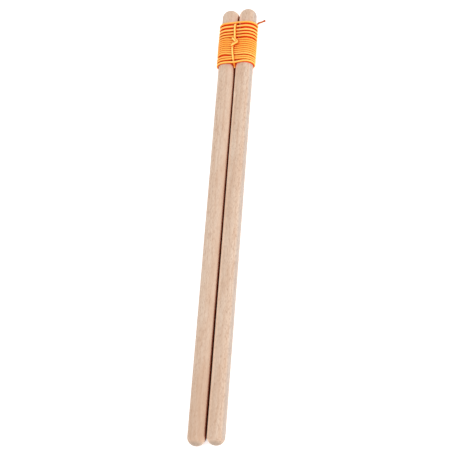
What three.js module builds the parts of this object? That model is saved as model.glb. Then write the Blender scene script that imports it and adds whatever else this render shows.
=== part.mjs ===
// A pair of rhythm claves: two round beech sticks with domed ends, lashed together near one end
// by a tight winding of orange elastic cord. A short tie of the same cord runs along the front of
// the winding, knotted in the middle, and the free end of the winding stands out at one side.
//
// Units are millimetres, +Z is up. The sticks lie side by side along Y on a table, free ends
// towards -Y, bound ends towards +Y, so the pair rests on its free ends and on the winding.

import * as THREE from 'three';

// ---- driving dimensions -------------------------------------------------------------------

const stickDiameter = 12;
const stickLength = 320;
const domeHeight = 5.6;
const boundEndGap = 0.85; // between the two sticks at their bound ends
const freeEndGap = 1.75; // and at their free ends

const cordDiameter = 1.5;
const fitGap = 0.2; // clearance between the elastic and the wood
const firstTurnFromTip = 13.2; // from the bound tips to the middle of the top turn
const turnGroups = [
  // spacing before the group's first turn, number of turns, spacing within the group
  { before: 0, turns: 3, pitch: 2.88 },
  { before: 2.45, turns: 2, pitch: 2.45 },
  { before: 2.8, turns: 8, pitch: 1.6 },
  { before: 2.15, turns: 2, pitch: 1.55 },
  { before: 2.4, turns: 1, pitch: 0 },
];
const webThickness = 0.9; // joins neighbouring turns, next to the wood

const knotSize = { length: 5.2, width: 4.2, height: 2.6 };
const tieOffset = 0.7; // the tie lies a little to the right of the pair's middle
const tieTucked = { upper: 4.6, lower: 5.4 }; // how far each strand runs past the end turns
const tailDiameter = 1.0;
const beadDiameter = 1.5;

const roundSides = 24; // facets round a stick and round the winding's two ends
const cordSides = 8;

// ---- derived dimensions -------------------------------------------------------------------

const stickRadius = stickDiameter / 2;
const cordRadius = cordDiameter / 2;
const tipY = stickLength / 2;
const halfFacet = Math.PI / roundSides;
const splay = Math.atan((freeEndGap - boundEndGap) / 2 / stickLength);

const windingInner = stickRadius + fitGap;
const turnRadius = windingInner + cordRadius; // from a stick's axis to the cord's centre line
const windingOuter = windingInner + cordDiameter;
const ridgeHalfWidth = 0.64 * cordRadius; // half the flat top of one turn's ridge

const turnPlaces = placeTurns();
const firstTurnY = turnPlaces[0];
const lastTurnY = turnPlaces[turnPlaces.length - 1];
const windingMiddleY = (firstTurnY + lastTurnY) / 2;
const stickOffset = stickOffsetAt(windingMiddleY);

// The pair leans on the lower edge of the winding's last ridge and on the ends of the shanks.
const shankEndY = tipY - domeHeight;
const restTilt = Math.atan(
  ((windingOuter - stickRadius) * Math.cos(halfFacet)) / (shankEndY + lastTurnY - ridgeHalfWidth),
);

// Heights above the sticks' axes.
const overTurns = turnRadius + cordDiameter + 0.15; // a cord lying on top of the turns
const inGroove = Math.sqrt((stickRadius + fitGap + cordRadius) ** 2 - stickOffset ** 2) + 0.1;

// ---- materials ----------------------------------------------------------------------------

const beech = { color: 0xdcb99a, roughness: 0.62, metalness: 0 };
const elastic = { color: 0xf08a24, roughness: 0.72, metalness: 0 };
const moltenEnd = { color: 0xd9501c, roughness: 0.5, metalness: 0 };

// ---- helpers ------------------------------------------------------------------------------

function placeTurns() {
  const places = [];
  let y = tipY - firstTurnFromTip;
  for (const group of turnGroups) {
    y -= group.before;
    for (let i = 0; i < group.turns; i += 1) {
      places.push(y);
      if (i < group.turns - 1) y -= group.pitch;
    }
  }
  return places;
}

// Distance from the pair's middle plane to a stick's axis, at a place along the sticks.
function stickOffsetAt(y) {
  const share = (tipY - y) / stickLength;
  const gap = boundEndGap + (freeEndGap - boundEndGap) * share;
  return stickRadius + gap / 2;
}

function namedMesh(name, geometry, look) {
  const mesh = new THREE.Mesh(geometry, new THREE.MeshStandardMaterial(look));
  mesh.name = name;
  return mesh;
}

// A solid of revolution about Y, turned so that a facet, not an edge, is at the very bottom.
function turned(profile, sides) {
  return new THREE.LatheGeometry(profile, sides, Math.PI / sides);
}

function cordAlong(points, diameter, steps) {
  const section = new THREE.Shape();
  for (let i = 0; i < cordSides; i += 1) {
    const angle = ((i + 0.5) / cordSides) * 2 * Math.PI;
    const place = [(diameter / 2) * Math.cos(angle), (diameter / 2) * Math.sin(angle)];
    if (i === 0) section.moveTo(...place);
    else section.lineTo(...place);
  }
  section.closePath();
  const route = new THREE.CatmullRomCurve3(points, false, 'centripetal');
  return new THREE.ExtrudeGeometry(section, { steps, extrudePath: route });
}

// ---- the two sticks -----------------------------------------------------------------------

function stickGeometry() {
  const domeSteps = 6;
  const shankRings = 6;
  const profile = [];
  for (let i = 0; i < domeSteps; i += 1) {
    const angle = (i / domeSteps) * (Math.PI / 2);
    profile.push(
      new THREE.Vector2(stickRadius * Math.sin(angle), -shankEndY - domeHeight * Math.cos(angle)),
    );
  }
  for (let i = 0; i <= shankRings; i += 1) {
    profile.push(new THREE.Vector2(stickRadius, -shankEndY + (i / shankRings) * 2 * shankEndY));
  }
  for (let i = domeSteps - 1; i >= 0; i -= 1) {
    const angle = (i / domeSteps) * (Math.PI / 2);
    profile.push(
      new THREE.Vector2(stickRadius * Math.sin(angle), shankEndY + domeHeight * Math.cos(angle)),
    );
  }
  return turned(profile, roundSides);
}

function stick(name, side) {
  const mesh = namedMesh(name, stickGeometry(), beech);
  mesh.position.x = side * stickOffsetAt(0);
  mesh.rotation.z = side * splay;
  return mesh;
}

// ---- the elastic winding ------------------------------------------------------------------

// Half the outline of one section: a flat-topped ridge for each turn, a thin web where they part.
function windingProfile() {
  const profile = [new THREE.Vector2(windingInner, lastTurnY - cordRadius)];
  for (const y of [...turnPlaces].reverse()) {
    profile.push(new THREE.Vector2(windingOuter, y - ridgeHalfWidth));
    profile.push(new THREE.Vector2(windingOuter, y + ridgeHalfWidth));
    const next = turnPlaces[turnPlaces.indexOf(y) - 1];
    if (next !== undefined && next - y > cordDiameter + 0.3) {
      profile.push(new THREE.Vector2(windingInner + webThickness, y + cordRadius + 0.05));
      profile.push(new THREE.Vector2(windingInner + webThickness, next - cordRadius - 0.05));
    }
  }
  profile.push(new THREE.Vector2(windingInner, firstTurnY + cordRadius));
  profile.push(profile[0].clone());
  return profile;
}

// A round winding pulled apart along X into the outline that wraps both sticks.
function windingGeometry() {
  const geometry = turned(windingProfile(), roundSides);
  const place = geometry.attributes.position;
  for (let i = 0; i < place.count; i += 1) {
    const x = place.getX(i);
    place.setX(i, x + Math.sign(x) * stickOffset);
  }
  geometry.computeVertexNormals();
  return geometry;
}

// ---- the tie along the front of the winding -------------------------------------------------

function tieStrand(side) {
  const endTurnY = side > 0 ? firstTurnY : lastTurnY;
  const tuckedLength = side > 0 ? tieTucked.upper : tieTucked.lower;
  const knotEdgeY = windingMiddleY + side * (knotSize.length / 2 + 0.3);
  // The strand is off the middle on top of the turns, and on it down in the groove.
  const at = (y, z) => {
    const climb = THREE.MathUtils.smoothstep(z, inGroove, turnRadius);
    return new THREE.Vector3(tieOffset * climb, y, z);
  };
  return [
    at(knotEdgeY, overTurns),
    at((knotEdgeY + endTurnY) / 2, overTurns),
    at(endTurnY - side * 0.8, overTurns),
    at(endTurnY + side * 1.3, turnRadius + 1.1),
    at(endTurnY + side * 2.6, turnRadius - 1.2),
    at(endTurnY + side * (tuckedLength - 1), inGroove + 0.4),
    at(endTurnY + side * tuckedLength, inGroove),
  ];
}

function knotGeometry() {
  const steps = 8;
  const profile = [];
  for (let i = 0; i <= steps; i += 1) {
    const angle = (i / steps) * Math.PI;
    const radius = i === 0 || i === steps ? 0 : Math.sin(angle) / 2;
    profile.push(new THREE.Vector2(radius, -Math.cos(angle) / 2));
  }
  const geometry = turned(profile, 12);
  geometry.scale(knotSize.width, knotSize.length, knotSize.height);
  return geometry;
}

// ---- the winding's free end -----------------------------------------------------------------

const tailEnd = new THREE.Vector3(stickOffset + 11.6, firstTurnY + 3.4, -1.4);
const tailRoute = [
  new THREE.Vector3(stickOffset + 2.6, firstTurnY + 1.9, -stickRadius - 1.15),
  new THREE.Vector3(stickOffset + 4.7, firstTurnY + 2.8, -stickRadius + 0.5),
  new THREE.Vector3(stickOffset + 6.7, firstTurnY + 3.1, -4.1),
  new THREE.Vector3(stickOffset + 9.2, firstTurnY + 3.3, -2.6),
  tailEnd,
];

function beadGeometry() {
  return new THREE.SphereGeometry(beadDiameter / 2, 10, 6);
}

// ---- assembly -------------------------------------------------------------------------------

const lyingLevel = new THREE.Group();
lyingLevel.add(stick('left_stick', -1));
lyingLevel.add(stick('right_stick', 1));
lyingLevel.add(namedMesh('elastic_winding', windingGeometry(), elastic));
lyingLevel.add(namedMesh('tie_strand_upper', cordAlong(tieStrand(1), cordDiameter, 14), elastic));
lyingLevel.add(namedMesh('tie_strand_lower', cordAlong(tieStrand(-1), cordDiameter, 12), elastic));

const knot = namedMesh('tie_knot', knotGeometry(), elastic);
knot.position.set(tieOffset, windingMiddleY, windingOuter + fitGap + knotSize.height / 2);
lyingLevel.add(knot);

lyingLevel.add(namedMesh('elastic_tail', cordAlong(tailRoute, tailDiameter, 8), elastic));

const bead = namedMesh('tail_bead', beadGeometry(), moltenEnd);
const tailDirection = tailEnd.clone().sub(tailRoute[tailRoute.length - 2]).normalize();
bead.position.copy(tailEnd).addScaledVector(tailDirection, beadDiameter / 2 + 0.2);
lyingLevel.add(bead);

lyingLevel.rotation.x = restTilt;

const claves = new THREE.Group();
claves.add(lyingLevel);
claves.updateMatrixWorld(true);

// The origin is at the middle of the pair's outline, on the table.
const outline = new THREE.Box3().setFromObject(claves, true);
claves.position.set(
  -(outline.min.x + outline.max.x) / 2,
  -(outline.min.y + outline.max.y) / 2,
  -outline.min.z,
);

export default claves;
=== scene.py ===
"""Looks for a pair of beech claves lashed together near one end with orange elastic cord.

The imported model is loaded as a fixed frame. The sticks, the winding and the knotted tie are built
here as fine meshes in the places that the frame gives, with procedural materials.
"""
import math

import bpy
import numpy as np
from mathutils import Matrix, Vector


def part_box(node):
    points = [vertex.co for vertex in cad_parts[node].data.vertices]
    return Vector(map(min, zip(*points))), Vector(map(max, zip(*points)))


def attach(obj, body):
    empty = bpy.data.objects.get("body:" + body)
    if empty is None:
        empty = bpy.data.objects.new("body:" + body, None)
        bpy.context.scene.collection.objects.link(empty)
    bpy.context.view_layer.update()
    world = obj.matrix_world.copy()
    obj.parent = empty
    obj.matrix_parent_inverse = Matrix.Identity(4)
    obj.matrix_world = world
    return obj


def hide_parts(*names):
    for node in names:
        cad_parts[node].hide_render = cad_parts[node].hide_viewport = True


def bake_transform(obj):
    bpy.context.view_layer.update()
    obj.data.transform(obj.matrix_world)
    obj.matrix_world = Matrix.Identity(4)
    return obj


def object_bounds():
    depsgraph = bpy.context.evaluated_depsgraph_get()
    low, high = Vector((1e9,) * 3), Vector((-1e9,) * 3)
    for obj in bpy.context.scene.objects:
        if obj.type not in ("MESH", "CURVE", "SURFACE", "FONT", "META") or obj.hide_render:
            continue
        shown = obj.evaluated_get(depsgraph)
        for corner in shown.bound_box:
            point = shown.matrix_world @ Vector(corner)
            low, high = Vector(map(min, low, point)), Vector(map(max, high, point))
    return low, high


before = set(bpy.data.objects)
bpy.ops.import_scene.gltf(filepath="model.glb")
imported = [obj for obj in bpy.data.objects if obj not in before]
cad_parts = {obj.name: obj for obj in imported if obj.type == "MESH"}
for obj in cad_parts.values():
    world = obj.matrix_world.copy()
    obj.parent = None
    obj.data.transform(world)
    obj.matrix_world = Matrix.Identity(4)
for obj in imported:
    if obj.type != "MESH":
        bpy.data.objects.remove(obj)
cad_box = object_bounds()

# ---- sizes in millimetres, as the CAD has them ------------------------------------------------

MM = 0.001
STICK_RADIUS = 6.0
STICK_LENGTH = 320.0
DOME_HEIGHT = 5.6
BOUND_END_GAP = 0.85
FREE_END_GAP = 1.75
FACETS = 24

CORD_RADIUS = 0.76
CAD_WINDING_PROUD = 1.7  # how far the CAD winding stands off a stick
CAD_RIDGE_HALF_WIDTH = 0.48  # half the flat top of one of its ridges
FIRST_TURN_FROM_TIP = 13.2
TURN_GROUPS = [
    # spacing before the group's first turn, number of turns, spacing within the group
    (0.0, 3, 2.88),
    (2.45, 2, 2.45),
    (2.8, 8, 1.6),
    (2.15, 2, 1.55),
    (2.4, 1, 0.0),
]

TIP_Y = STICK_LENGTH / 2
SHANK_END_Y = TIP_Y - DOME_HEIGHT
SPLAY = math.atan((FREE_END_GAP - BOUND_END_GAP) / 2 / STICK_LENGTH)


def place_turns():
    """The turns' places along the sticks, from the bound end down."""
    places, y = [], TIP_Y - FIRST_TURN_FROM_TIP
    for before, turns, pitch in TURN_GROUPS:
        y -= before
        for turn in range(turns):
            places.append(y)
            if turn < turns - 1:
                y -= pitch
    return places


def stick_offset(y):
    """From the pair's middle plane to a stick's axis, at a place along the sticks."""
    share = (TIP_Y - y) / STICK_LENGTH
    return STICK_RADIUS + (BOUND_END_GAP + (FREE_END_GAP - BOUND_END_GAP) * share) / 2


TURNS = place_turns()
FIRST_TURN, LAST_TURN = TURNS[0], TURNS[-1]
LAST_INDEX = len(TURNS) - 1
WINDING_MIDDLE = (FIRST_TURN + LAST_TURN) / 2
OFFSET = stick_offset(WINDING_MIDDLE)
REST_TILT = math.atan(
    CAD_WINDING_PROUD
    * math.cos(math.pi / FACETS)
    / (SHANK_END_Y + LAST_TURN - CAD_RIDGE_HALF_WIDTH)
)

TURN_RADIUS = STICK_RADIUS + CORD_RADIUS  # from a stick's axis to the cord's centre line
BEDDING = 0.04  # how far a cord that lies on the turns sinks into them
OFF_WOOD = 0.02
# Heights above the sticks' axes of a cord on the turns, and of one in the groove.
OVER_TURNS = TURN_RADIUS + 2 * CORD_RADIUS - BEDDING
IN_GROOVE = math.sqrt((STICK_RADIUS + CORD_RADIUS + OFF_WOOD) ** 2 - OFFSET**2)


def lying_matrix():
    """The row frame: X from the pair's middle plane, Y along the sticks, Z up from their axes."""
    left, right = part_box("left_stick"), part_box("right_stick")
    middle_x = (left[0][0] + right[1][0]) / 2
    axis_z = (left[0][2] + left[1][2]) / 2
    return Matrix.Translation((middle_x, 0, axis_z)) @ Matrix.Rotation(REST_TILT, 4, "X")


LYING = lying_matrix()


def in_row_frame(x, y, z):
    return LYING @ Vector((x * MM, y * MM, z * MM))


# ---- camera -----------------------------------------------------------------------------------

CAMERA_AZIMUTH = 40.58
CAMERA_ELEVATION = 59.04
CAMERA_ROLL = -40.31
CAMERA_DISTANCE = 1.4014
CAMERA_SENSOR = 36
CAMERA_LENS = 164.26
CAMERA_CLIP = (0.05, 20)
AIM_FROM_MIDDLE = (0.0007, -0.007, -0.0016)  # the aim, from the middle of the CAD box


def make_camera():
    data = bpy.data.cameras.new("camera")
    data.sensor_width = CAMERA_SENSOR
    data.lens = CAMERA_LENS
    data.clip_start, data.clip_end = CAMERA_CLIP
    camera = bpy.data.objects.new("camera", data)
    bpy.context.scene.collection.objects.link(camera)
    azimuth, elevation = math.radians(CAMERA_AZIMUTH), math.radians(CAMERA_ELEVATION)
    back = Vector((
        math.sin(azimuth) * math.cos(elevation),
        -math.cos(azimuth) * math.cos(elevation),
        math.sin(elevation),
    ))
    aim = (cad_box[0] + cad_box[1]) / 2 + Vector(AIM_FROM_MIDDLE)
    turn = (-back).to_track_quat("-Z", "Y").to_matrix().to_4x4()
    roll = Matrix.Rotation(math.radians(CAMERA_ROLL), 4, "Z")
    camera.matrix_world = Matrix.Translation(aim + back * CAMERA_DISTANCE) @ turn @ roll
    bpy.context.scene.camera = camera


make_camera()

# ---- node helpers -----------------------------------------------------------------------------

MIX_COLOUR_A, MIX_COLOUR_B, MIX_COLOUR_RESULT = 6, 7, 2  # the colour sockets of a Mix node


class Nodes:
    """Short ways to add and join shader nodes."""

    def __init__(self, name):
        self.material = bpy.data.materials.new(name)
        self.material.use_nodes = True
        self.tree = self.material.node_tree
        self.tree.nodes.clear()
        self.shader = self.tree.nodes.new("ShaderNodeBsdfPrincipled")
        output = self.tree.nodes.new("ShaderNodeOutputMaterial")
        self.join(self.shader.outputs["BSDF"], output.inputs["Surface"])

    def join(self, source, target):
        self.tree.links.new(source, target)

    def drive(self, title, source):
        """Joins a value to the shader's socket of that name."""
        self.join(source, self.shader.inputs[title])

    def fix(self, title, value):
        """Sets the shader's socket of that name to one value all over."""
        self.shader.inputs[title].default_value = value

    def put(self, value, target):
        if isinstance(value, bpy.types.NodeSocket):
            self.join(value, target)
        else:
            target.default_value = value

    def coordinates(self, scale=(1, 1, 1), shift=(0, 0, 0), turn=(0, 0, 0)):
        """Object coordinates in millimetres, turned, shifted and scaled."""
        place = self.tree.nodes.new("ShaderNodeTexCoord")
        mapping = self.tree.nodes.new("ShaderNodeMapping")
        mapping.inputs["Scale"].default_value = [s / MM for s in scale]
        mapping.inputs["Location"].default_value = shift
        mapping.inputs["Rotation"].default_value = turn
        self.join(place.outputs["Object"], mapping.inputs["Vector"])
        return mapping.outputs["Vector"]

    def scaled(self, vector, scale, shift=(0, 0, 0)):
        mapping = self.tree.nodes.new("ShaderNodeMapping")
        mapping.inputs["Scale"].default_value = scale
        mapping.inputs["Location"].default_value = shift
        self.join(vector, mapping.inputs["Vector"])
        return mapping.outputs["Vector"]

    def noise(self, vector, detail=2.0, roughness=0.5):
        """Noise with features one unit across, in the units of the vector."""
        node = self.tree.nodes.new("ShaderNodeTexNoise")
        node.inputs["Scale"].default_value = 1.0
        node.inputs["Detail"].default_value = detail
        node.inputs["Roughness"].default_value = roughness
        self.join(vector, node.inputs["Vector"])
        return node.outputs["Fac"]

    def math(self, operation, a, b=0.0):
        node = self.tree.nodes.new("ShaderNodeMath")
        node.operation = operation
        self.put(a, node.inputs[0])
        self.put(b, node.inputs[1])
        return node.outputs["Value"]

    def times(self, a, b):
        return self.math("MULTIPLY", a, b)

    def span(self, value, low, high, to_low=0.0, to_high=1.0, smooth=True):
        """The value's range from low to high, carried over to the range from to_low to to_high."""
        node = self.tree.nodes.new("ShaderNodeMapRange")
        node.interpolation_type = "SMOOTHSTEP" if smooth else "LINEAR"
        self.put(value, node.inputs["Value"])
        node.inputs["From Min"].default_value = low
        node.inputs["From Max"].default_value = high
        node.inputs["To Min"].default_value = to_low
        node.inputs["To Max"].default_value = to_high
        return node.outputs["Result"]

    def mix(self, share, a, b, blend="MIX"):
        node = self.tree.nodes.new("ShaderNodeMix")
        node.data_type = "RGBA"
        node.blend_type = blend
        self.put(share, node.inputs["Factor"])
        self.put(a, node.inputs[MIX_COLOUR_A])
        self.put(b, node.inputs[MIX_COLOUR_B])
        return node.outputs[MIX_COLOUR_RESULT]

    def split(self, vector):
        node = self.tree.nodes.new("ShaderNodeSeparateXYZ")
        self.join(vector, node.inputs["Vector"])
        return node.outputs

    def attribute(self, name):
        node = self.tree.nodes.new("ShaderNodeAttribute")
        node.attribute_name = name
        return node.outputs["Fac"]

    def shifted(self, vector, amount):
        """The coordinates with all three moved by an amount that varies from place to place."""
        node = self.tree.nodes.new("ShaderNodeVectorMath")
        node.operation = "ADD"
        self.join(vector, node.inputs[0])
        self.join(amount, node.inputs[1])
        return node.outputs["Vector"]

    def openness(self, reach, samples=8):
        """From 0 deep in a crevice to 1 on an open surface, within the given reach in metres."""
        node = self.tree.nodes.new("ShaderNodeAmbientOcclusion")
        node.samples = samples
        node.inputs["Distance"].default_value = reach
        return node.outputs["AO"]

    def bump(self, height, distance, strength):
        """A normal for relief of the given height, times a distance in metres."""
        node = self.tree.nodes.new("ShaderNodeBump")
        node.inputs["Strength"].default_value = strength
        node.inputs["Distance"].default_value = distance
        self.join(height, node.inputs["Height"])
        return node.outputs["Normal"]


def linear(red, green, blue):
    """A colour given as it shows on screen, 0 to 255, as linear values."""
    channels = [c / 255 for c in (red, green, blue)]
    return [*(c / 12.92 if c <= 0.04045 else ((c + 0.055) / 1.055) ** 2.4 for c in channels), 1.0]


# In all the materials a pair called SPAN is where an effect starts and where it is full, DEPTH is
# its greatest share, and SCALE is how finely a noise varies, in features per millimetre. A pair
# called ROUGHNESS or BUMP is the shader's lowest and highest roughness, or the relief's distance
# in metres and its strength.

NOISE_SPREAD = (0.2, 0.8)  # where nearly all of a noise's values lie

CORD_PAINTED_GLOW = linear(255, 66, 0)  # painted glow: the fluorescent cord emits a little light of its own
CORD_PAINTED_GLOW_STRENGTH = 0.1

# ---- beech ------------------------------------------------------------------------------------

WOOD_PALE = linear(229, 205, 184)
WOOD_WARM = linear(222, 192, 168)
WOOD_STREAK = linear(206, 172, 145)
WOOD_LATE = linear(196, 156, 127)
WOOD_RAY = linear(172, 126, 96)
WOOD_PORE = linear(142, 98, 72)
WOOD_TAN = linear(196, 155, 124)
WOOD_END = linear(150, 134, 120)
# Painted shade on the sticks' outer sides.
WOOD_OUTER_SHADE = linear(174, 169, 166)
# Painted warm reflected light and painted shade in the crevice between the sticks.
WOOD_PAINTED_BOUNCE = linear(206, 122, 78)
WOOD_PAINTED_SHADE = linear(112, 30, 6)
# Painted orange light reflected from the cord, with shade, on the wood.
WOOD_PAINTED_CORD_BOUNCE = linear(232, 66, 0)
# Painted light beside the crevice.
WOOD_PAINTED_LIGHT = linear(238, 226, 208)

DRIFT_SCALE = (0.10, 0.016, 0.10)
DRIFT_WIDTH = 5.0
RING_WIDTH = 2.4
LATE_WOOD_START, LATE_WOOD_END = (0.45, 0.92), (1.0, 0.94)  # in shares of a ring
LATE_WOOD_DEPTH = 0.26
FIBRE_SCALE = (2.6, 0.11, 2.6)
FIBRE_SPAN, FIBRE_DEPTH = (0.35, 0.72), 0.42
PATCH_SCALE, PATCH_SHIFT = (0.28, 0.055, 0.28), (2, 9, 4)
PATCH_SPAN = (0.35, 0.68)
FLAKE_SCALE = (0.62, 0.36, 2.6)
FLAKE_SPAN, FLAKE_DEPTH = (0.56, 0.66), 0.24
DASH_SCALE, DASH_SHIFT = (1.2, 0.42, 4.6), (5, 5, 5)
DASH_SPAN = (0.56, 0.64)
RAY_ROUGHNESS = 0.4
PORE_SCALE = (8.0, 0.9, 8.0)
PORE_SPAN, PORE_DEPTH = (0.62, 0.74), 0.16

HANDLED_SPAN = (-0.05, -0.155)  # along the stick, in metres
END_GRAIN_SPAN, END_GRAIN_DEPTH = (0.55, 0.97), 0.6  # by how far the surface faces along it

# Places across the stick are in millimetres from its axis, towards the other stick.
CREVICE_REACH, CREVICE_SAMPLES = 0.012, 16
# Painted light beside the crevice, where the shading would darken the wood, and on the edge towards
# the other stick.
PAINTED_LIGHT_ACROSS, PAINTED_LIGHT_SPAN, PAINTED_LIGHT_DEPTH = (0.0, 3.0), (0.95, 0.35), 0.35
PAINTED_LIGHT_LIFT = 1.12
EDGE_LIGHT_ACROSS = (2.2, 4.8)
# Painted shade: the outer side greyer.
OUTER_SHADE_ACROSS, OUTER_SHADE_DEPTH = (-4.4, -6.0), 0.5

# By how much less openness than shade_from each of these starts or is full: painted warm reflected
# light, painted shade, and the cord's painted orange light along the crevice.
BOUNCE_FULL, BOUNCE_DEPTH = 0.14, 0.6
PAINTED_SHADE_START, PAINTED_SHADE_FULL, PAINTED_SHADE_DEPTH = 0.08, 0.22, 0.96
CREVICE_BOUNCE_FULL, CREVICE_BOUNCE_DEPTH = 0.15, 0.6

CORD_BOUNCE_REACH = 1.0  # how far the painted orange reflected light reaches beyond the turns, in millimetres
CORD_BOUNCE_CREEP = 4.0  # how far it reaches along the crevice
CORD_BOUNCE_EVEN = 0.1  # an even share of it on all the wood that the turns cover
GAP_SHADE_REACH, GAP_SHADE_SPAN = 0.0025, (0.95, 0.65)

WOOD_ROUGHNESS = (0.5, 0.66)
SPECULAR_SPAN, WOOD_SPECULAR = (0.25, 0.6), 0.3  # deep in the crevice nothing shines
FIBRE_RELIEF, PORE_RELIEF = 0.6, 0.5
WOOD_BUMP = (0.00006, 0.55)


def beech_figure(n, log, dash_depth):
    """Rings nearly flat across the stick, ray flecks and fine pores along it.

    Gives the colour, and the fibres and pores for the relief.
    """
    # The fibres run a little out of line with the stick, so streaks drift across it.
    drift = n.noise(n.scaled(log, DRIFT_SCALE))
    drifting = n.shifted(log, n.times(drift, DRIFT_WIDTH))
    across = n.split(drifting)["X"]

    # Each growth ring has a slow start and a darker, sharper end.
    ring = n.math("FRACT", n.times(across, 1 / RING_WIDTH))
    late_wood = n.times(n.span(ring, *LATE_WOOD_START), n.span(ring, *LATE_WOOD_END))

    # Short streaks along the fibres, and broad patches of tone.
    fibres = n.noise(n.scaled(drifting, FIBRE_SCALE), detail=3.0, roughness=0.6)
    patches = n.noise(n.scaled(log, PATCH_SCALE, PATCH_SHIFT), detail=3.0)

    # Rays are thin ribbons that stand across the rings: short dark dashes on one face of the
    # stick and wider flakes on the face beside it.
    rays = n.noise(n.scaled(drifting, FLAKE_SCALE), 1.0, RAY_ROUGHNESS)
    flake = n.span(rays, *FLAKE_SPAN)
    short_rays = n.noise(n.scaled(drifting, DASH_SCALE, DASH_SHIFT), 1.0, RAY_ROUGHNESS)
    dash = n.span(short_rays, *DASH_SPAN)
    pores = n.noise(n.scaled(log, PORE_SCALE), detail=1.0)
    pore = n.span(pores, *PORE_SPAN)

    colour = n.mix(n.span(patches, *PATCH_SPAN), WOOD_PALE, WOOD_WARM)
    colour = n.mix(n.span(fibres, *FIBRE_SPAN, 0.0, FIBRE_DEPTH), colour, WOOD_STREAK)
    colour = n.mix(n.times(late_wood, LATE_WOOD_DEPTH), colour, WOOD_LATE)
    colour = n.mix(n.times(flake, FLAKE_DEPTH), colour, WOOD_RAY)
    colour = n.mix(n.times(dash, dash_depth), colour, WOOD_RAY)
    colour = n.mix(n.times(pore, PORE_DEPTH), colour, WOOD_PORE)
    return colour, fibres, pore


def paint_edge_light_and_outer_shade(n, colour, inward, open_air, edge_light):
    """Painted light paler beside the crevice and on the inner edge; painted shade greying the outer
    sides.
    """
    beside_crevice = n.times(
        n.span(inward, *PAINTED_LIGHT_ACROSS), n.span(open_air, *PAINTED_LIGHT_SPAN, smooth=False)
    )
    lift = n.span(beside_crevice, 0.0, 1.0, 1.0, PAINTED_LIGHT_LIFT, False)
    lift = n.times(lift, n.span(inward, *EDGE_LIGHT_ACROSS, 1.0, edge_light))
    colour = n.mix(1.0, colour, lift, "MULTIPLY")
    colour = n.mix(n.times(beside_crevice, PAINTED_LIGHT_DEPTH), colour, WOOD_PAINTED_LIGHT)
    # Painted shade greys the outer side.
    return n.mix(n.span(inward, *OUTER_SHADE_ACROSS, 0.0, OUTER_SHADE_DEPTH), colour, WOOD_OUTER_SHADE)


def paint_crevice_shade(n, colour, open_air, shade_from):
    """Where the sticks close on each other, painted warm reflected colour and then painted dark
    shade.
    """
    bounce = n.span(open_air, shade_from, shade_from - BOUNCE_FULL, 0.0, BOUNCE_DEPTH)
    colour = n.mix(bounce, colour, WOOD_PAINTED_BOUNCE)
    start, full = shade_from - PAINTED_SHADE_START, shade_from - PAINTED_SHADE_FULL
    return n.mix(n.span(open_air, start, full, 0.0, PAINTED_SHADE_DEPTH), colour, WOOD_PAINTED_SHADE)


def by_the_turns(n, along, reach):
    """1 under the turns, fading to 0 over the given reach beyond them."""
    return n.times(
        n.span(along, (FIRST_TURN + reach) * MM, FIRST_TURN * MM),
        n.span(along, (LAST_TURN - reach) * MM, LAST_TURN * MM),
    )


def paint_cord_bounce(n, colour, along, open_air, shade_from):
    """Painted orange reflected light and shade from the elastic on the wood it covers, a little
    beyond and along the crevice, with a painted glow in the gaps.
    """
    under_turns = by_the_turns(n, along, CORD_BOUNCE_REACH)
    near_turns = by_the_turns(n, along, CORD_BOUNCE_CREEP)
    # Painted shade and orange reflected light in the gaps between the turns.
    in_gaps = n.times(under_turns, n.span(n.openness(GAP_SHADE_REACH), *GAP_SHADE_SPAN))
    closed = n.span(open_air, shade_from, shade_from - CREVICE_BOUNCE_FULL, 0.0, CREVICE_BOUNCE_DEPTH)
    along_crevice = n.times(near_turns, closed)
    even_bounce = n.math("MAXIMUM", along_crevice, n.times(under_turns, CORD_BOUNCE_EVEN))
    colour = n.mix(n.math("MAXIMUM", in_gaps, even_bounce), colour, WOOD_PAINTED_CORD_BOUNCE)
    # Painted glow in those gaps.
    n.fix("Emission Color", CORD_PAINTED_GLOW)
    n.drive("Emission Strength", n.times(in_gaps, CORD_PAINTED_GLOW_STRENGTH))
    return colour


def beech(name, side, log_turn, log_shift, tan, dash_depth, shade_from, edge_light):
    """Bare sanded beech.

    side is -1 for the left stick and 1 for the right. tan is how far hands have darkened the free
    end, dash_depth how plainly the rays show, shade_from the openness at which the crevice's
    painted shade starts, and edge_light how much painted light brightens the edge towards the other
    stick.
    """
    n = Nodes(name)
    log = n.coordinates(turn=(0, log_turn, 0), shift=log_shift)
    colour, fibres, pore = beech_figure(n, log, dash_depth)

    # Handling has toned the free end, and the ends are darker where they cut across the fibres.
    place = n.tree.nodes.new("ShaderNodeTexCoord")
    spot = n.split(place.outputs["Object"])
    along, inward = spot["Y"], n.times(spot["X"], -side / MM)
    colour = n.mix(n.span(along, *HANDLED_SPAN, 0.0, tan), colour, WOOD_TAN)
    facing_end = n.math("ABSOLUTE", n.split(place.outputs["Normal"])["Y"])
    end_grain = n.span(facing_end, *END_GRAIN_SPAN, 0.0, END_GRAIN_DEPTH)
    colour = n.mix(end_grain, colour, WOOD_END)

    open_air = n.openness(CREVICE_REACH, CREVICE_SAMPLES)
    colour = paint_edge_light_and_outer_shade(n, colour, inward, open_air, edge_light)
    colour = paint_crevice_shade(n, colour, open_air, shade_from)
    colour = paint_cord_bounce(n, colour, along, open_air, shade_from)
    n.drive("Base Color", colour)

    n.drive("Roughness", n.span(fibres, *NOISE_SPREAD, *WOOD_ROUGHNESS, False))
    n.drive("Specular IOR Level", n.span(open_air, *SPECULAR_SPAN, 0.0, WOOD_SPECULAR))
    height = n.math("SUBTRACT", n.times(fibres, FIBRE_RELIEF), n.times(pore, PORE_RELIEF))
    n.drive("Normal", n.bump(height, *WOOD_BUMP))
    return n.material


# ---- elastic ----------------------------------------------------------------------------------

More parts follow.
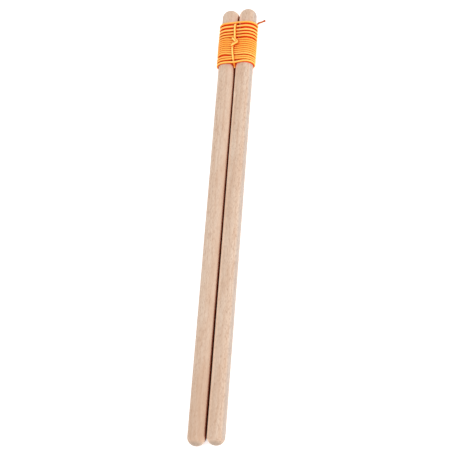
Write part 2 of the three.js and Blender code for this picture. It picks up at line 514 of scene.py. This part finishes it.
# The cord's painted highlight colour.
CORD_PAINTED_HIGHLIGHT = linear(255, 232, 130)
CORD_BODY = linear(255, 164, 44)
# Painted shade colours of the cord.
CORD_PAINTED_DEEP = linear(236, 92, 4)
CORD_SHADE = linear(206, 44, 0)
CORD_SPENT = linear(198, 112, 52)

YARN_SCALE = (14, 14, 14)
TONE_SCALE, TONE_SHIFT = (0.25, 0.6, 0.25), (4, 1, 8)
SHADED_SIDE_SPAN = (-0.3, 0.55)  # painted shade on the sides towards the sticks, by how far the surface faces away from them
# Painted highlight along the outer side.
HIGHLIGHT_SPAN = (0.35, 1.0)
VALLEY_SPAN, VALLEY_DEPTH = (0.55, 0.05), 0.55  # painted shade between the yarns, by the braid's relief
# Painted glints: a fine random speckle of the highlight colour.
YARN_GLINT_SPAN, YARN_GLINT_DEPTH = (0.45, 0.8), 0.25
TONE_SPAN, TONE_DEPTH = (0.45, 0.8), 0.3
TOUCHING_REACH = 0.002
TOUCHING_SPAN, TOUCHING_DEPTH = (0.8, 0.3), 0.95
CORD_ROUGHNESS = (0.5, 0.68)
CORD_SPECULAR, CORD_SPECULAR_TINT = 0.2, (1.0, 0.8, 0.45, 1.0)
CORD_SHEEN, CORD_SHEEN_ROUGHNESS, CORD_SHEEN_TINT = 0.08, 0.4, (1.0, 0.75, 0.35, 1.0)
CORD_BUMP = (0.00004, 0.5)


def braided_elastic():
    """Orange textile braid, with a painted highlight along its outer side and painted deep
    red-orange shade on its inner sides, between the yarns and where turns touch.
    """
    n = Nodes("braided_elastic")
    relief = n.attribute("relief")
    outward = n.attribute("outward")
    yarn = n.noise(n.coordinates(scale=YARN_SCALE), roughness=0.6)
    tone = n.noise(n.coordinates(scale=TONE_SCALE, shift=TONE_SHIFT))
    # Painted shade: deeper colour on the sides that face the sticks.
    colour = n.mix(n.span(outward, *SHADED_SIDE_SPAN), CORD_PAINTED_DEEP, CORD_BODY)
    # Painted highlight along the outer side of each turn and strand.
    crown_highlight = n.times(n.span(outward, *HIGHLIGHT_SPAN), n.attribute("highlight"))
    colour = n.mix(crown_highlight, colour, CORD_PAINTED_HIGHLIGHT)
    # Painted shade between the yarns.
    colour = n.mix(n.span(relief, *VALLEY_SPAN, 0.0, VALLEY_DEPTH), colour, CORD_PAINTED_DEEP)
    # Painted glints of the fibres.
    colour = n.mix(n.span(yarn, *YARN_GLINT_SPAN, 0.0, YARN_GLINT_DEPTH), colour, CORD_PAINTED_HIGHLIGHT)
    colour = n.mix(n.span(tone, *TONE_SPAN, 0.0, TONE_DEPTH), colour, CORD_BODY)
    # Painted shade where turns touch.
    touching = n.span(n.openness(TOUCHING_REACH), *TOUCHING_SPAN, 0.0, TOUCHING_DEPTH)
    colour = n.mix(touching, colour, CORD_SHADE)
    spent = n.attribute("spent")
    n.drive("Base Color", n.mix(spent, colour, CORD_SPENT))
    # Painted glow: the cord emits a little light of its own, less on the drawn-out free end.
    n.fix("Emission Color", CORD_PAINTED_GLOW)
    n.drive("Emission Strength", n.span(spent, 0.0, 1.0, CORD_PAINTED_GLOW_STRENGTH, 0.0, False))
    n.drive("Roughness", n.span(yarn, *NOISE_SPREAD, *CORD_ROUGHNESS, False))
    n.fix("Specular IOR Level", CORD_SPECULAR)
    n.fix("Specular Tint", CORD_SPECULAR_TINT)
    n.fix("Sheen Weight", CORD_SHEEN)
    n.fix("Sheen Roughness", CORD_SHEEN_ROUGHNESS)
    n.fix("Sheen Tint", CORD_SHEEN_TINT)
    n.drive("Normal", n.bump(yarn, *CORD_BUMP))
    return n.material


BEAD_DARK = linear(186, 62, 18)
BEAD_LIGHT = linear(214, 92, 30)
LUMP_SCALE = (1.6, 1.6, 1.6)
LUMP_COLOUR_SPAN, LUMP_ROUGHNESS_SPAN = (0.35, 0.7), (0.3, 0.7)
BEAD_ROUGHNESS = (0.32, 0.55)
BEAD_BUMP = (0.0001, 0.4)


def sealed_end():
    """The cord's end, melted to a bead: darker, smoother and a little lumpy."""
    n = Nodes("sealed_end")
    lumps = n.noise(n.coordinates(scale=LUMP_SCALE), detail=3.0, roughness=0.6)
    n.drive("Base Color", n.mix(n.span(lumps, *LUMP_COLOUR_SPAN), BEAD_DARK, BEAD_LIGHT))
    n.drive("Roughness", n.span(lumps, *LUMP_ROUGHNESS_SPAN, *BEAD_ROUGHNESS, False))
    n.drive("Normal", n.bump(lumps, *BEAD_BUMP))
    return n.material


# ---- mesh helpers -----------------------------------------------------------------------------

SPLINE_SAMPLES = 24  # between two given points
NEARLY_PARALLEL = 0.9  # cosine of the angle between two directions


def add_mesh(name, verts, faces, material, place=None):
    """A smooth mesh with its vertices in millimetres, put where place says or in the row frame."""
    mesh = bpy.data.meshes.new(name)
    mesh.from_pydata((np.asarray(verts) * MM).tolist(), [], faces)
    mesh.validate()
    mesh.update()
    mesh.shade_smooth()
    mesh.materials.append(material)
    piece = bpy.data.objects.new(name, mesh)
    bpy.context.scene.collection.objects.link(piece)
    piece.matrix_world = LYING if place is None else place
    return piece


def ring_angles(sides, shift=0.0):
    return (np.arange(sides) + shift) / sides * 2 * math.pi


def ring_faces(rings, sides):
    """Quads between neighbouring rings, and a fan to a point at each end."""
    faces = []
    for ring in range(rings - 1):
        for side in range(sides):
            a = ring * sides + side
            b = ring * sides + (side + 1) % sides
            faces.append((a, b, b + sides, a + sides))
    start, end = rings * sides, rings * sides + 1
    last_ring = (rings - 1) * sides
    for side in range(sides):
        after = (side + 1) % sides
        faces.append((start, after, side))
        faces.append((end, last_ring + side, last_ring + after))
    return faces


def distances(path):
    """How far along the path each of its points is."""
    gaps = np.linalg.norm(np.diff(path, axis=0), axis=1)
    return np.concatenate([[0], np.cumsum(gaps)])


def evenly(points, step):
    """The same line with its points an even step apart."""
    places = distances(points)
    count = max(4, round(places[-1] / step)) + 1
    wanted = np.linspace(0, places[-1], count)
    return np.stack([np.interp(wanted, places, points[:, i]) for i in range(3)], 1)


def spline(points, step):
    """Points a step apart on a centripetal Catmull-Rom curve through the given points."""
    p = [np.array(q, float) for q in points]
    p = [2 * p[0] - p[1], *p, 2 * p[-1] - p[-2]]
    dense = []
    for p0, p1, p2, p3 in zip(p, p[1:], p[2:], p[3:]):
        t0 = 0.0
        t1 = t0 + math.sqrt(np.linalg.norm(p1 - p0))
        t2 = t1 + math.sqrt(np.linalg.norm(p2 - p1))
        t3 = t2 + math.sqrt(np.linalg.norm(p3 - p2))
        for t in np.linspace(t1, t2, SPLINE_SAMPLES, endpoint=False):
            a1 = (t1 - t) / (t1 - t0) * p0 + (t - t0) / (t1 - t0) * p1
            a2 = (t2 - t) / (t2 - t1) * p1 + (t - t1) / (t2 - t1) * p2
            a3 = (t3 - t) / (t3 - t2) * p2 + (t - t2) / (t3 - t2) * p3
            b1 = (t2 - t) / (t2 - t0) * a1 + (t - t0) / (t2 - t0) * a2
            b2 = (t3 - t) / (t3 - t1) * a2 + (t - t1) / (t3 - t1) * a3
            dense.append((t2 - t) / (t2 - t1) * b1 + (t - t1) / (t2 - t1) * b2)
    dense.append(p[-2])
    return evenly(np.array(dense), step)


def soften(path, rounds):
    """Takes small corners out of a path, with its two ends left where they are."""
    for _ in range(rounds):
        path[1:-1] = (path[:-2] + 2 * path[1:-1] + path[2:]) / 4
    return path


def turning_frames(path):
    """Two directions across the path at each point, carried along it without twisting."""
    tangents = np.gradient(path, axis=0)
    tangents /= np.linalg.norm(tangents, axis=1)[:, None]
    seed = np.array([0.0, 1.0, 0.0])
    if abs(tangents[0] @ seed) > NEARLY_PARALLEL:
        seed = np.array([0.0, 0.0, 1.0])
    across = np.empty_like(path)
    across[0] = seed - (seed @ tangents[0]) * tangents[0]
    across[0] /= np.linalg.norm(across[0])
    for i in range(1, len(path)):
        v = across[i - 1] - (across[i - 1] @ tangents[i]) * tangents[i]
        across[i] = v / np.linalg.norm(v)
    return across, np.cross(tangents, across)


def rings_along(path, across, up, reach, angle):
    """A ring of points round each point of the path, each at its own reach from it."""
    return (
        path[:, None, :]
        + (reach * np.cos(angle))[..., None] * across[:, None, :]
        + (reach * np.sin(angle))[..., None] * up[:, None, :]
    )


# ---- braided cord -----------------------------------------------------------------------------

BRAID_SIDES = 24
BRAID_STEP = 0.25
YARNS_ROUND = 6
YARN_CELL = 1.25  # length of one crossing along the cord
BRAID_DEPTH = 0.06
YARN_ROUNDING, YARN_END_ROUNDING = 0.9, 0.35  # powers of a sine, across a yarn and along it
BLUNT_LENGTH, BLUNT_SHARE = 0.45, 0.25  # a cut end narrows to this share over this length


def braid_relief(angle, along):
    """Height of a plain braid from 0 between the yarns to 1 on their crowns."""
    turn = YARNS_ROUND * angle / (2 * math.pi)
    p, q = turn + along / YARN_CELL, turn - along / YARN_CELL
    over_p, over_q = np.sin(np.pi * (p % 1)), np.sin(np.pi * (q % 1))
    even = (np.floor(p) + np.floor(q)) % 2 == 0
    return np.where(
        even,
        over_p**YARN_ROUNDING * over_q**YARN_END_ROUNDING,
        over_q**YARN_ROUNDING * over_p**YARN_END_ROUNDING,
    )


def add_layer(piece, title, values):
    """Keeps a value for each point of the cord, and their means for the middles of its ends."""
    layer = piece.data.attributes.new(title, "FLOAT", "POINT")
    ends = [values[0].mean(), values[-1].mean()]
    layer.data.foreach_set("value", np.concatenate([values.ravel(), ends]).astype(np.float32))


def braided_cord(name, path, radius, material, outward, highlight, spent=0.0):
    """A braided cord along path, and its length.

    radius, highlight and spent are numbers, or arrays with one value for each point; highlight is
    the strength of the painted highlight. outward is the direction away from the sticks at each
    point.
    """
    across, up = turning_frames(path)
    along = distances(path)
    radius = np.broadcast_to(np.asarray(radius, float), along.shape).copy()
    # The two cut ends are rounded over.
    for distance in (along, along[-1] - along):
        near = distance < BLUNT_LENGTH
        rounding = np.sqrt(1 - (1 - distance[near] / BLUNT_LENGTH) ** 2)
        radius[near] *= rounding * (1 - BLUNT_SHARE) + BLUNT_SHARE
    angle = ring_angles(BRAID_SIDES)
    relief = braid_relief(angle[None, :], along[:, None])
    reach = radius[:, None] - BRAID_DEPTH * (1 - relief)
    rings = rings_along(path, across, up, reach, angle)
    verts = np.concatenate([rings.reshape(-1, 3), path[:1], path[-1:]])
    piece = add_mesh(name, verts, ring_faces(len(path), BRAID_SIDES), material)
    side = np.einsum("ij,ij->i", across, outward)
    rise = np.einsum("ij,ij->i", up, outward)
    facing = side[:, None] * np.cos(angle) + rise[:, None] * np.sin(angle)
    add_layer(piece, "relief", relief)
    add_layer(piece, "outward", facing)
    add_layer(piece, "highlight", np.broadcast_to(np.reshape(highlight, (-1, 1)), facing.shape))
    add_layer(piece, "spent", np.broadcast_to(np.reshape(spent, (-1, 1)), facing.shape))
    return piece, along[-1]


# ---- the sticks -------------------------------------------------------------------------------

STICK_SIDES = 96
DOME_STEPS = 18
SHANK_RINGS = 120
FULLER = 0.15
UNEVEN_PLACES, UNEVEN_DEPTH = 14, 0.04


def stick_outline():
    """(place along Y, radius) pairs from one tip to the other, without the tips themselves."""
    low = []
    for step in range(1, DOME_STEPS):
        angle = step / DOME_STEPS * math.pi / 2
        place = -SHANK_END_Y - DOME_HEIGHT * math.cos(angle)
        low.append((place, STICK_RADIUS * math.sin(angle)))
    shank = [(y, STICK_RADIUS) for y in np.linspace(-SHANK_END_Y, SHANK_END_Y, SHANK_RINGS)]
    high = [(-y, r) for y, r in reversed(low)]
    return low + shank + high


def make_stick(name, node, side, seed, material):
    random = np.random.default_rng(seed)
    outline = np.array(stick_outline())
    # Hand sanding leaves the shank very slightly uneven along its length.
    places = np.linspace(-TIP_Y, TIP_Y, UNEVEN_PLACES)
    depths = random.uniform(-UNEVEN_DEPTH, 0.0, UNEVEN_PLACES)
    uneven = np.interp(outline[:, 0], places, depths)
    angle = ring_angles(STICK_SIDES, 0.5)
    reach = outline[:, 1] + uneven * (outline[:, 1] / STICK_RADIUS)
    # The dowels are a little oval, fuller on the sides that face each other.
    fuller = np.where(np.cos(angle) * side < 0, 1 + FULLER / STICK_RADIUS, 1.0)
    verts = np.stack([
        reach[:, None] * (fuller * np.cos(angle))[None, :],
        np.broadcast_to(outline[:, :1], (len(outline), STICK_SIDES)),
        reach[:, None] * np.sin(angle)[None, :],
    ], -1).reshape(-1, 3)
    tips = [[0, -TIP_Y, 0], [0, TIP_Y, 0]]
    verts = np.concatenate([verts, tips])
    faces = [tuple(reversed(f)) for f in ring_faces(len(outline), STICK_SIDES)]
    place = (
        LYING
        @ Matrix.Translation((side * stick_offset(0) * MM, 0, 0))
        @ Matrix.Rotation(side * SPLAY, 4, "Z")
    )
    piece = add_mesh(name, verts, faces, material, place)
    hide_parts(node)
    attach(piece, node)


# ---- the winding ------------------------------------------------------------------------------

WINDING_SEED = 11
POINTS_PER_TURN = 160
CROSSING = 0.16  # share of a turn over which the cord moves on to the next turn's place
ENTRY_STEP = 1.0  # how much higher the free end comes in than the first turn
FIRST_SHARE, LAST_SHARE = 0.02, 0.965  # where the first turn starts and the last one ends
SWAY_ONCE, SWAY_TWICE = 0.05, 0.04  # waves in a turn, one and two to the turn
SOFTENING_ROUNDS = 3

# How strong each turn's painted highlight is along its outer side, from the top turn down.
TURN_HIGHLIGHTS = [0.5, 0.85, 0.95, 0.6, 0.5, 0.3, 0.3, 0.3, 0.3, 0.34, 0.4, 0.45, 0.7, 0.5, 0.5, 0.85]

# The free end comes out from under the right stick; the other end is tucked into the groove.
TAIL = [
    (OFFSET + 11.6, FIRST_TURN + 3.7, -1.4),
    (OFFSET + 9.2, FIRST_TURN + 3.7, -2.6),
    (OFFSET + 6.7, FIRST_TURN + 4.1, -4.1),
    (OFFSET + 4.7, FIRST_TURN + 3.7, -STICK_RADIUS + 0.5),
    (OFFSET + 2.6, FIRST_TURN + 2.4, -STICK_RADIUS - 0.62),
]
TUCKED = [
    (OFFSET - 2.2, LAST_TURN + 0.1, -TURN_RADIUS),
    (2.2, LAST_TURN + 0.6, -TURN_RADIUS + 0.9),
    (0.8, LAST_TURN + 1.9, -IN_GROOVE - 1.2),
    (0.1, LAST_TURN + 4.0, -IN_GROOVE - 0.15),
    (0.0, LAST_TURN + 7.0, -IN_GROOVE),
    (0.0, LAST_TURN + 11.0, -IN_GROOVE),
]
# The free end thins where its cover was drawn out before it was sealed, and has lost most of its
# colour there. These places are distances along the cord from the bead.
TAIL_RADIUS, THINNED_RADIUS = 0.62, 0.66
THINNED_TO, FULL_FROM = 9, 16
TAIL_SPENT = 0.8
SPENT_TO, FRESH_FROM = 9, 14

# The tie dives between the first two turns and between the last two, which part for it.
PARTED = {0: 0.12, 1: -0.12, LAST_INDEX - 1: 0.12, LAST_INDEX: -0.42}
PARTED_X, PARTED_WIDTH = 0.9, 2.6
LAST_TURN_RISE = 0.75  # the last turn climbs towards its neighbour at the right
# The band of close turns leans, so that at the left it lies up against the turns above.
LEFT_RISE = {4: 0.2, **dict.fromkeys(range(5, 13), 1.0), 13: 0.2}
LEFT_RISE_BELOW = 0.5  # share of that rise along the underside


def outline_at(share):
    """The loop round both sticks, from the bottom's middle by the left, top and right."""
    half_span, arc = OFFSET, math.pi * TURN_RADIUS
    loop = 4 * half_span + 2 * arc
    s = share * loop
    if s < half_span:
        return -s, -TURN_RADIUS
    s -= half_span
    if s < arc:
        angle = -math.pi / 2 - s / TURN_RADIUS
        return -OFFSET + TURN_RADIUS * math.cos(angle), TURN_RADIUS * math.sin(angle)
    s -= arc
    if s < 2 * half_span:
        return -OFFSET + s, TURN_RADIUS
    s -= 2 * half_span
    if s < arc:
        angle = math.pi / 2 - s / TURN_RADIUS
        return OFFSET + TURN_RADIUS * math.cos(angle), TURN_RADIUS * math.sin(angle)
    s -= arc
    return OFFSET - s, -TURN_RADIUS


def smooth(t):
    t = min(1.0, max(0.0, t))
    return t * t * (3 - 2 * t)


def place_of_turn(index, share, before):
    """Where a turn is along the sticks: it shifts to its next place along the underside."""
    y = TURNS[index]
    if share < CROSSING / 2:
        return before + (y - before) * smooth(0.5 + share / CROSSING)
    if share > 1 - CROSSING / 2 and index < LAST_INDEX:
        return y + (TURNS[index + 1] - y) * smooth((share - 1) / CROSSING + 0.5)
    return y


def point_of_turn(index, share, before, waves):
    x, z = outline_at(share)
    y = place_of_turn(index, share, before)
    if z > 0 and abs(x) < OFFSET:
        y += PARTED.get(index, 0.0) * math.exp(-(((x - PARTED_X) / PARTED_WIDTH) ** 2))
    if x < 0:
        y += LEFT_RISE.get(index, 0.0) * smooth(-x / OFFSET) * (LEFT_RISE_BELOW if z < 0 else 1.0)
    if index == LAST_INDEX and x > 0:
        y += LAST_TURN_RISE * smooth((x - 0.5 * OFFSET) / (OFFSET + 0.5 * TURN_RADIUS))
    sway = SWAY_ONCE * waves[0] * math.sin(2 * math.pi * share + 3 * waves[1])
    sway += SWAY_TWICE * waves[2] * math.sin(4 * math.pi * share + 3 * waves[3])
    return x, y + sway, z


def winding_path():
    """The cord's centre line from its free end, through all the turns, to its tucked end."""
    random = np.random.default_rng(WINDING_SEED)
    loops = []
    for index in range(len(TURNS)):
        before = TURNS[index - 1] if index else FIRST_TURN + ENTRY_STEP
        waves = random.uniform(-1, 1, 4)
        for step in range(POINTS_PER_TURN):
            share = step / POINTS_PER_TURN
            too_early = index == 0 and share < FIRST_SHARE
            too_late = index == LAST_INDEX and share > LAST_SHARE
            if not too_early and not too_late:
                loops.append(point_of_turn(index, share, before, waves))
    tail = spline([*TAIL, loops[0]], BRAID_STEP)
    tucked = spline([loops[-1], *TUCKED], BRAID_STEP)
    whole = np.concatenate([tail[:-1], np.array(loops), tucked[1:]])
    return soften(evenly(whole, BRAID_STEP), SOFTENING_ROUNDS)


def away_from_sticks(path):
    """At each point, the direction square away from the sticks' outline."""
    out = path.copy()
    out[:, 0] -= np.clip(path[:, 0], -OFFSET, OFFSET)
    out[:, 1] = 0
    return out / np.maximum(np.linalg.norm(out, axis=1), 1e-6)[:, None]


def stretch_with_sticks(piece):
    """Bakes the piece's placement into its mesh."""
    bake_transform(piece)


def make_winding(material):
    path = winding_path()
    along = distances(path)
    radii = [TAIL_RADIUS, THINNED_RADIUS, CORD_RADIUS]
    radius = np.interp(along, [0, THINNED_TO, FULL_FROM], radii)
    highlight = np.interp(path[:, 1], TURNS[::-1], TURN_HIGHLIGHTS[::-1])
    spent = np.interp(along, [SPENT_TO, FRESH_FROM], [TAIL_SPENT, 0])
    outward = away_from_sticks(path)
    piece, length = braided_cord(
        "elastic_winding_cord", path, radius, material, outward, highlight, spent
    )
    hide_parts("elastic_winding", "elastic_tail")
    stretch_with_sticks(piece)
    print("winding cord length mm", round(float(length), 1))


# ---- the bead ---------------------------------------------------------------------------------

BEAD_RINGS, BEAD_SIDES = 14, 20
BEAD_RADIUS = 0.92
BEAD_FROM, BEAD_TO = -0.35, 1.15  # past the end of the cord
BEAD_TIP = 0.1  # how far its tip stands past its last ring
BEAD_ARC_FROM, BEAD_ARC = 0.12, 0.84  # its outline is this part of half a sine wave
BEAD_FULLNESS = 0.7
BEAD_LUMPS = (0.06, 0.05)


def bead_radii(t, angle):
    """The bead's radius at each share t of its length and each angle: a drop, a little lumpy."""
    shape = BEAD_RADIUS * np.sin(np.pi * (BEAD_ARC_FROM + BEAD_ARC * t)) ** BEAD_FULLNESS
    lumpy = 1 + BEAD_LUMPS[0] * np.sin(2 * angle + 5 * t)
    lumpy = lumpy + BEAD_LUMPS[1] * np.sin(3 * angle - 4 * t)
    return shape * lumpy


def make_bead(material):
    """The sealed end: a small lumpy drop on the free end."""
    end, before = np.array(TAIL[0]), np.array(TAIL[1])
    axis = (end - before) / np.linalg.norm(end - before)
    path = np.array([end + axis * t for t in np.linspace(BEAD_FROM, BEAD_TO, BEAD_RINGS)])
    across, up = turning_frames(path)
    angle = ring_angles(BEAD_SIDES)
    reach = bead_radii(np.linspace(0, 1, BEAD_RINGS)[:, None], angle[None, :])
    rings = rings_along(path, across, up, reach, angle)
    verts = np.concatenate([rings.reshape(-1, 3), path[:1], path[-1:] + axis * BEAD_TIP])
    piece = add_mesh("tail_sealed_bead", verts, ring_faces(BEAD_RINGS, BEAD_SIDES), material)
    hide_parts("tail_bead")
    stretch_with_sticks(piece)


# ---- the tie ----------------------------------------------------------------------------------

KNOT_X = 1.3
KNOT_Y = FIRST_TURN - 16.5
TIE_STEP = 0.8 * BRAID_STEP
TIE_RADIUS = CORD_RADIUS - 0.03
# The tie's painted highlight is stronger than the turns'.
TIE_HIGHLIGHT = 1.5

# From the end tucked under the top turn, out over the next turns, down to the knot and round it.
UPPER_TIE = [
    (-0.1, FIRST_TURN + 2.0, IN_GROOVE + 0.4),
    (-0.3, FIRST_TURN + 1.1, TURN_RADIUS - 2.6),
    (-0.1, FIRST_TURN, TURN_RADIUS - 1.5),
    (0.1, FIRST_TURN - 1.4, TURN_RADIUS + 0.1),
    (0.15, FIRST_TURN - 2.7, OVER_TURNS - 0.08),
    (0.15, FIRST_TURN - 5.0, OVER_TURNS),
    (0.35, FIRST_TURN - 8.0, OVER_TURNS),
    (KNOT_X - 0.65, KNOT_Y + 5.0, OVER_TURNS),
    (KNOT_X - 0.5, KNOT_Y + 3.4, OVER_TURNS + 0.05),
    (KNOT_X + 0.1, KNOT_Y + 2.2, OVER_TURNS + 0.05),
    (KNOT_X + 1.1, KNOT_Y + 1.4, OVER_TURNS + 0.1),
    (KNOT_X + 1.7, KNOT_Y + 0.2, OVER_TURNS + 0.5),
    (KNOT_X + 1.8, KNOT_Y - 0.6, OVER_TURNS + 1.2),
    (KNOT_X + 1.0, KNOT_Y - 1.3, OVER_TURNS + 1.75),
    (KNOT_X + 0.0, KNOT_Y - 1.9, OVER_TURNS + 1.8),
    (KNOT_X - 1.1, KNOT_Y - 2.4, OVER_TURNS + 1.5),
    (KNOT_X - 2.4, KNOT_Y - 2.8, OVER_TURNS + 1.1),
]

# From the cut end beside the knot, round the upper strand, down the front and under the last turn.
LOWER_TIE = [
    (KNOT_X - 2.1, KNOT_Y + 3.2, OVER_TURNS + 0.9),
    (KNOT_X - 1.3, KNOT_Y + 2.4, OVER_TURNS + 1.4),
    (KNOT_X - 0.5, KNOT_Y + 1.4, OVER_TURNS + 1.7),
    (KNOT_X + 0.2, KNOT_Y + 0.5, OVER_TURNS + 1.4),
    (KNOT_X + 0.5, KNOT_Y - 0.2, OVER_TURNS + 0.6),
    (KNOT_X + 0.3, KNOT_Y - 0.5, OVER_TURNS + 0.1),
    (KNOT_X - 0.3, KNOT_Y - 0.3, OVER_TURNS),
    (KNOT_X - 1.2, KNOT_Y - 0.4, OVER_TURNS + 0.15),
    (KNOT_X - 1.55, KNOT_Y - 1.3, OVER_TURNS + 0.2),
    (KNOT_X - 1.75, KNOT_Y - 2.6, OVER_TURNS + 0.05),
    (KNOT_X - 1.8, KNOT_Y - 4.0, OVER_TURNS),
    (KNOT_X - 1.6, KNOT_Y - 6.5, OVER_TURNS),
    (KNOT_X - 1.2, KNOT_Y - 9.5, OVER_TURNS),
    (KNOT_X - 0.85, TURNS[-2] + 0.8, OVER_TURNS - 0.02),
    (KNOT_X - 0.8, TURNS[-2] - 0.5, OVER_TURNS - 0.5),
    (KNOT_X - 0.75, (TURNS[-2] + LAST_TURN) / 2 - 0.15, TURN_RADIUS + 0.1),
    (KNOT_X - 0.8, LAST_TURN - 0.35, TURN_RADIUS - 1.5),
    (0.3, LAST_TURN - 1.2, IN_GROOVE + 1.3),
    (0.1, LAST_TURN - 1.9, IN_GROOVE + 0.3),
    (0.0, LAST_TURN - 2.6, IN_GROOVE),
]


def make_tie(name, points, material, *nodes):
    path = spline(points, TIE_STEP)
    upward = np.tile([0.0, 0.0, 1.0], (len(path), 1))
    piece, length = braided_cord(name, path, TIE_RADIUS, material, upward, TIE_HIGHLIGHT)
    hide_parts(*nodes)
    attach(piece, "binding")
    print(name, "length mm", round(float(length), 1))


# ---- stage ------------------------------------------------------------------------------------

FLOOR_HALF_SIZE = 6.0
FLOOR_DROP = 0.0002
FLOOR_REACH, FLOOR_SAMPLES = 0.05, 64
FLOOR_COLOUR, FLOOR_ROUGHNESS = (0.9, 0.9, 0.9, 1), 0.9
FLOOR_GLOW_SPAN, FLOOR_GLOW = (0.0, 0.25), 0.55  # the sticks lie on a light table
FLOOR_LEAK = 0.14
BETWEEN_FROM = 0.7 * STICK_RADIUS  # the shade between the sticks fades from here to their axes
ENCLOSED_SPAN = (0.2, 0.12)
CREVICE_SHADE = linear(92, 26, 6)
SKY_STRENGTH = 0.86
KEY_DIRECTION = (0.62, -0.1, 0.76)
KEY_DISTANCE, KEY_SIZE, KEY_POWER = 2.0, 1.0, 9


def pale_floor():
    """A light table's matt top, with warm shade in the closed gap between the sticks."""
    n = Nodes("pale_floor")
    n.fix("Roughness", FLOOR_ROUGHNESS)
    n.fix("Specular IOR Level", 0.0)
    n.fix("Emission Color", (1, 1, 1, 1))
    place = n.tree.nodes.new("ShaderNodeTexCoord")
    spot = n.split(place.outputs["Object"])
    aside = n.math("ABSOLUTE", n.math("SUBTRACT", spot["X"], in_row_frame(0, 0, 0).x))
    between = n.span(aside, BETWEEN_FROM * MM, STICK_RADIUS * MM, 1.0, 0.0)
    # The sticks stand higher at their bound ends, where light leaks in from the sides.
    leak = n.span(spot["Y"], -TIP_Y * MM, TIP_Y * MM, 0.0, FLOOR_LEAK, False)
    open_air = n.openness(FLOOR_REACH, FLOOR_SAMPLES)
    enclosed = n.span(n.math("SUBTRACT", open_air, leak), *ENCLOSED_SPAN)
    shaded = n.times(between, enclosed)
    # The glow fades under the sticks, and is lost in the shade between them.
    glow = n.span(open_air, *FLOOR_GLOW_SPAN, 0.0, FLOOR_GLOW)
    glow = n.times(glow, n.math("SUBTRACT", 1.0, shaded))
    n.drive("Emission Strength", glow)
    n.drive("Base Color", n.mix(shaded, FLOOR_COLOUR, CREVICE_SHADE))
    return n.material


def make_floor():
    half = FLOOR_HALF_SIZE
    mesh = bpy.data.meshes.new("floor")
    corners = [(-half, -half, 0), (half, -half, 0), (half, half, 0), (-half, half, 0)]
    mesh.from_pydata(corners, [], [(0, 1, 2, 3)])
    mesh.materials.append(pale_floor())
    floor = bpy.data.objects.new("floor", mesh)
    floor.location.z = -FLOOR_DROP
    bpy.context.scene.collection.objects.link(floor)


def make_sky():
    world = bpy.data.worlds.new("studio")
    world.use_nodes = True
    sky = world.node_tree.nodes["Background"]
    sky.inputs["Color"].default_value = (1, 1, 1, 1)
    sky.inputs["Strength"].default_value = SKY_STRENGTH
    bpy.context.scene.world = world


def make_key_light():
    data = bpy.data.lights.new("key", "AREA")
    data.shape = "DISK"
    data.size = KEY_SIZE
    data.energy = KEY_POWER
    light = bpy.data.objects.new("key", data)
    towards = Vector(KEY_DIRECTION).normalized()
    light.location = towards * KEY_DISTANCE
    light.rotation_euler = (-towards).to_track_quat("-Z", "Y").to_euler()
    bpy.context.scene.collection.objects.link(light)


def set_view():
    """Colours show as they are, with no film look."""
    settings = bpy.context.scene.view_settings
    settings.view_transform = "Standard"
    settings.look = "None"
    settings.exposure = 0.0


# ---- build ------------------------------------------------------------------------------------

left_wood = beech(
    "beech_left", side=-1, log_turn=0.4, log_shift=(31, 12, 7),
    tan=0.4, dash_depth=0.26, shade_from=0.43, edge_light=1.0,
)
right_wood = beech(
    "beech_right", side=1, log_turn=1.9, log_shift=(11, 47, 3),
    tan=0.12, dash_depth=0.42, shade_from=0.2, edge_light=1.35,
)
make_stick("left_stick_wood", "left_stick", -1, 5, left_wood)
make_stick("right_stick_wood", "right_stick", 1, 8, right_wood)
cord = braided_elastic()
make_winding(cord)
make_bead(sealed_end())
make_tie("tie_upper_cord", UPPER_TIE, cord, "tie_strand_upper", "tie_knot")
make_tie("tie_lower_cord", LOWER_TIE, cord, "tie_strand_lower")
make_floor()
make_sky()
make_key_light()
set_view()
